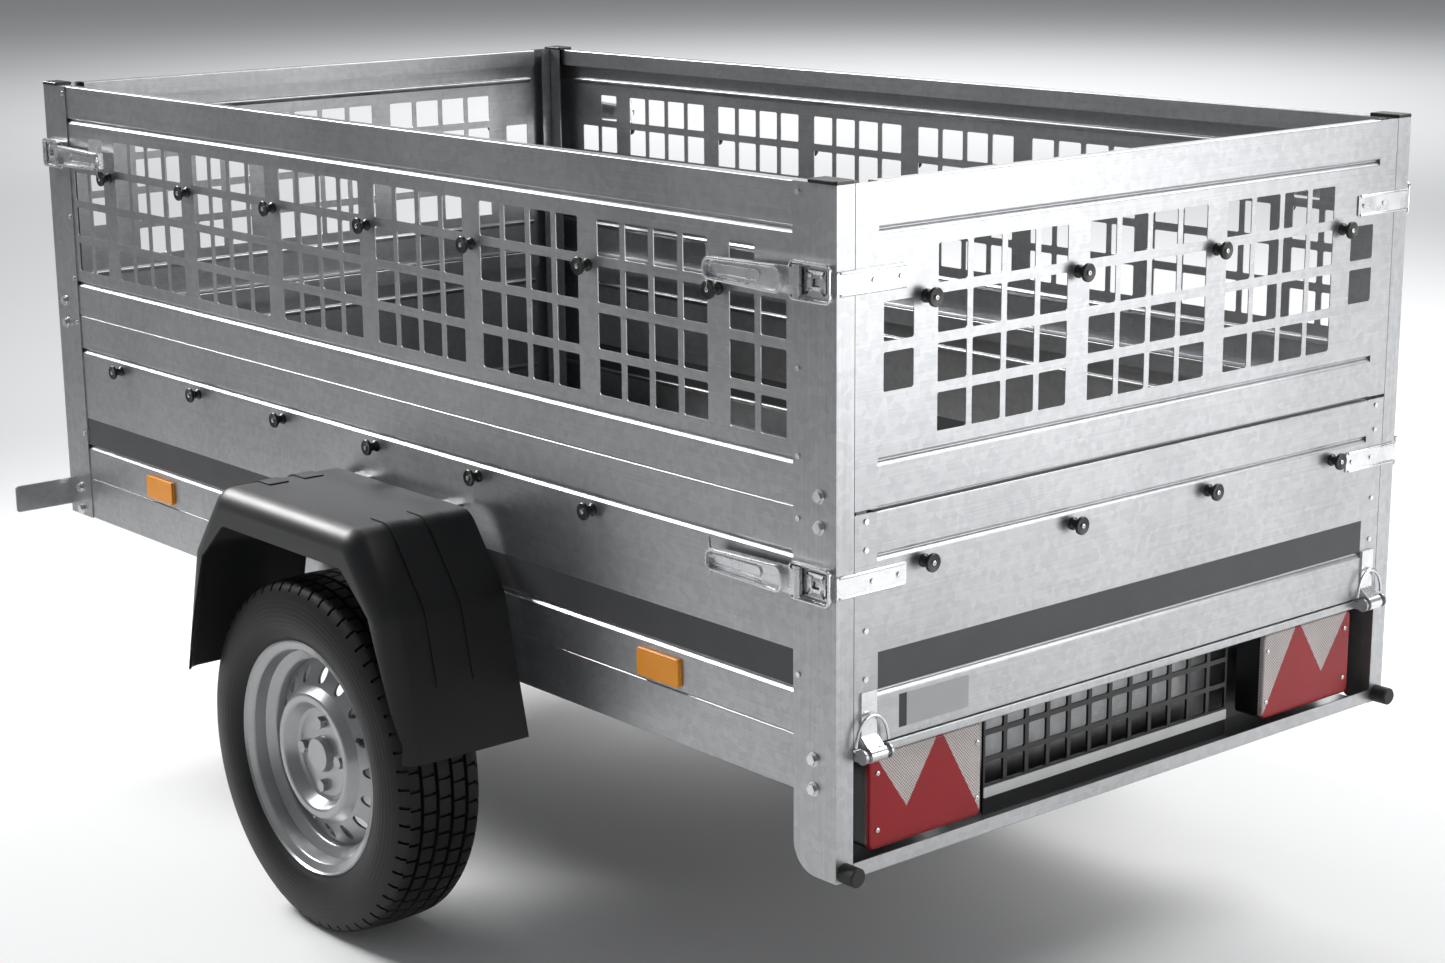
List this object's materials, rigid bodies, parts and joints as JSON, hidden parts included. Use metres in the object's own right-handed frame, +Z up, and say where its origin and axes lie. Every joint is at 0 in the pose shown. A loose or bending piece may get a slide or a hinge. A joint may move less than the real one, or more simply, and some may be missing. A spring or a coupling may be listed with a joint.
{
  "type": "box trailer",
  "caption": "Single-axle open box trailer with galvanised base walls, perforated lift-out extension walls, a hinged tailgate and black plastic mudguards.",
  "frame": {"origin": "middle of the overall length and width, on the ground", "axes": "+X forwards to the coupling, +Y to the left, +Z up"},
  "size_m": [3.057, 1.6, 1.21],
  "materials": {
    "galvanised": "galvanised sheet with a fine satin grain",
    "zinc_plated": "bright zinc plating",
    "black_plastic": "fine grained matt black plastic",
    "black_rubber": "moulded rubber",
    "jockey_rubber": "solid rubber tread on a plastic core",
    "tyre": "tyre rubber",
    "silver_rim": "silver paint",
    "red_lens": "ribbed red lens",
    "clear_lens": "ribbed clear lens",
    "amber_lens": "amber reflex lens",
    "white_strip": "plain white strip",
    "plywood": "dark film-faced plywood"
  },
  "bodies": {
    "chassis": {"axle_beam": "galvanised", "base_posts_front": "galvanised", "base_posts_rear": "galvanised", "base_wall_front": "galvanised", "base_wall_left": "galvanised", "base_wall_right": "galvanised", "coupling_body": "zinc_plated", "cross_members": "galvanised", "drawbar": "galvanised", "extension_posts_left": "galvanised", "extension_posts_right": "galvanised", "floor_panel": "plywood", "frame_bolts": "zinc_plated", "front_beam": "galvanised", "jockey_clamp": "zinc_plated", "lamp_clear_lenses": "clear_lens", "lamp_housings": "black_plastic", "lamp_red_lenses": "red_lens", "latch_bases": "zinc_plated", "light_beam": "galvanised", "marker_arms": "galvanised", "mesh_wall_left": "galvanised", "mesh_wall_right": "galvanised", "mudguard_brackets": "galvanised", "mudguard_left": "black_plastic", "mudguard_right": "black_plastic", "plate_holder": "black_plastic", "plate_strip": "white_strip", "post_caps": "black_plastic", "rear_buffers": "black_rubber", "rear_sill": "galvanised", "side_beams": "galvanised", "side_reflectors": "amber_lens", "wall_knobs": "black_plastic"},
    "lower_tailgate": {"tailgate_panel": "galvanised", "tailgate_knobs": "black_plastic", "tailgate_fittings": "zinc_plated"},
    "mesh_tailgate": {"mesh_tailgate_panel": "galvanised", "mesh_tailgate_knobs": "black_plastic", "mesh_tailgate_catches": "zinc_plated"},
    "mesh_front": {"mesh_front_panel": "galvanised", "mesh_front_knobs": "black_plastic", "mesh_front_catches": "zinc_plated"},
    "arm_left": {"swing_arm_left": "galvanised"},
    "arm_right": {"swing_arm_right": "galvanised"},
    "wheel_left": {"rim_left": "silver_rim", "tyre_left": "tyre"},
    "wheel_right": {"rim_right": "silver_rim", "tyre_right": "tyre"},
    "coupling_lever": {"coupling_handle": "zinc_plated"},
    "clamp_lever": {"clamp_handle": "zinc_plated"},
    "jockey_post": {"jockey_leg": "zinc_plated"},
    "castor": {"castor_fork": "zinc_plated"},
    "jockey_roller": {"jockey_wheel": "jockey_rubber"},
    "latch_lower_rear_left": {"latch_handle_lower_rear_left": "zinc_plated"},
    "latch_lower_rear_right": {"latch_handle_lower_rear_right": "zinc_plated"},
    "latch_upper_front_left": {"latch_handle_upper_front_left": "zinc_plated"},
    "latch_upper_front_right": {"latch_handle_upper_front_right": "zinc_plated"},
    "latch_upper_rear_left": {"latch_handle_upper_rear_left": "zinc_plated"},
    "latch_upper_rear_right": {"latch_handle_upper_rear_right": "zinc_plated"}
  },
  "joints": [
    {"name": "lower_tailgate_hinge", "type": "hinge", "parent": "chassis", "child": "lower_tailgate", "pos_m": [-1.5155, 0, 0.48], "axis": [0, -1, 0], "range_deg": [0, 175]},
    {"name": "mesh_tailgate_lift", "type": "slide", "parent": "chassis", "child": "mesh_tailgate", "axis": [0, 0, 1], "range_m": [0, 0.42]},
    {"name": "mesh_front_lift", "type": "slide", "parent": "chassis", "child": "mesh_front", "axis": [0, 0, 1], "range_m": [0, 0.42]},
    {"name": "coupling_lever_hinge", "type": "hinge", "parent": "chassis", "child": "coupling_lever", "pos_m": [1.3935, 0, 0.499], "axis": [0, -1, 0], "range_deg": [0, 60]},
    {"name": "clamp_screw", "type": "hinge", "parent": "chassis", "child": "clamp_lever", "pos_m": [0.7985, -0.115, 0.455], "axis": [0, 1, 0], "range_deg": [-90, 270]},
    {"name": "jockey_slide", "type": "slide", "parent": "chassis", "child": "jockey_post", "axis": [0, 0, 1], "range_m": [0, 0.19]},
    {"name": "castor_swivel", "type": "hinge", "parent": "jockey_post", "child": "castor", "pos_m": [0.7985, -0.075, 0.23], "axis": [0, 0, 1], "continuous": true},
    {"name": "jockey_spin", "type": "hinge", "parent": "castor", "child": "jockey_roller", "pos_m": [0.7535, -0.075, 0.095], "axis": [0, 1, 0], "continuous": true},
    {"name": "suspension_left", "type": "hinge", "parent": "chassis", "child": "arm_left", "pos_m": [-0.4245, 0.56, 0.3735], "axis": [0, 1, 0], "range_deg": [-10, 15], "stiffness_Nm_per_rad": 1200, "springref_deg": -2.86},
    {"name": "wheel_spin_left", "type": "hinge", "parent": "arm_left", "child": "wheel_left", "pos_m": [-0.5365, 0.699, 0.2735], "axis": [0, 1, 0], "continuous": true},
    {"name": "suspension_right", "type": "hinge", "parent": "chassis", "child": "arm_right", "pos_m": [-0.4245, -0.56, 0.3735], "axis": [0, 1, 0], "range_deg": [-10, 15], "stiffness_Nm_per_rad": 1200, "springref_deg": -2.86},
    {"name": "wheel_spin_right", "type": "hinge", "parent": "arm_right", "child": "wheel_right", "pos_m": [-0.5365, -0.699, 0.2735], "axis": [0, 1, 0], "continuous": true},
    {"name": "latch_lower_rear_left_hinge", "type": "hinge", "parent": "chassis", "child": "latch_lower_rear_left", "pos_m": [-1.4415, 0.583, 0.704], "axis": [0, 0, 1], "range_deg": [0, 105]},
    {"name": "latch_lower_rear_right_hinge", "type": "hinge", "parent": "chassis", "child": "latch_lower_rear_right", "pos_m": [-1.4415, -0.583, 0.704], "axis": [0, 0, -1], "range_deg": [0, 105]},
    {"name": "latch_upper_front_left_hinge", "type": "hinge", "parent": "chassis", "child": "latch_upper_front_left", "pos_m": [0.5185, 0.583, 1.085], "axis": [0, 0, -1], "range_deg": [0, 105]},
    {"name": "latch_upper_front_right_hinge", "type": "hinge", "parent": "chassis", "child": "latch_upper_front_right", "pos_m": [0.5185, -0.583, 1.085], "axis": [0, 0, 1], "range_deg": [0, 105]},
    {"name": "latch_upper_rear_left_hinge", "type": "hinge", "parent": "chassis", "child": "latch_upper_rear_left", "pos_m": [-1.4415, 0.583, 1.085], "axis": [0, 0, 1], "range_deg": [0, 105]},
    {"name": "latch_upper_rear_right_hinge", "type": "hinge", "parent": "chassis", "child": "latch_upper_rear_right", "pos_m": [-1.4415, -0.583, 1.085], "axis": [0, 0, -1], "range_deg": [0, 105]}
  ]
}
